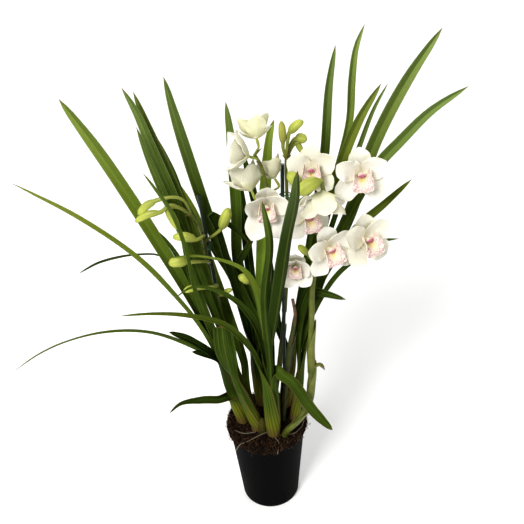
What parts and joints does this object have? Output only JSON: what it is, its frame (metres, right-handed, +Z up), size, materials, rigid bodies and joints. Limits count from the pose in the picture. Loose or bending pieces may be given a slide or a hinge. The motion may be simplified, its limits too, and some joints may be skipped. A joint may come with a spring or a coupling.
{
  "type": "potted orchid",
  "caption": "Flowering cymbidium orchid: fans of long strap leaves, staked spikes of pale blooms and buds, in a deep tapered nursery pot.",
  "frame": {"origin": "middle of the pot's flat underside", "axes": "+Z up; the flower side looks along -Y, so +X is to the right as seen from the front"},
  "size_m": [0.6292, 0.3923, 0.8246],
  "materials": {
    "pot": "black moulded plastic, matt",
    "potting_mix": "dark bark and fibre",
    "leaf": "waxy leaf, satin",
    "spike": "fresh green stem and buds, satin",
    "old_spike": "dried stem, matt",
    "stake": "dark green plastic",
    "tie": "green plastic over wire",
    "petal": "waxy white petal, satin",
    "lip": "blushed lip with speckles, satin"
  },
  "bodies": {
    "root": {"pot": "pot", "potting_mix": "potting_mix", "growth_front": "leaf", "growth_left": "leaf", "growth_far_left": "leaf", "growth_back": "leaf", "growth_right": "leaf", "growth_far_right": "leaf", "spike_right": "spike", "spike_middle": "spike", "spike_left": "spike", "spike_buds": "spike", "old_spike": "old_spike", "stake_middle": "stake", "stake_left": "stake", "tie_middle": "tie", "tie_left": "tie", "bloom_right_1": "petal", "bloom_right_2": "petal", "bloom_right_3": "petal", "bloom_right_4": "petal", "bloom_right_5": "petal", "bloom_right_6": "petal", "bloom_right_7": "petal", "bloom_left_1": "petal", "bloom_left_2": "petal", "bloom_left_3": "petal", "bloom_left_4": "petal", "bloom_left_5": "petal", "lip_right_1": "lip", "lip_right_2": "lip", "lip_right_3": "lip", "lip_right_4": "lip", "lip_right_5": "lip", "lip_right_6": "lip", "lip_right_7": "lip", "lip_left_1": "lip", "lip_left_2": "lip", "lip_left_3": "lip", "lip_left_4": "lip", "lip_left_5": "lip"}
  },
  "joints": []
}
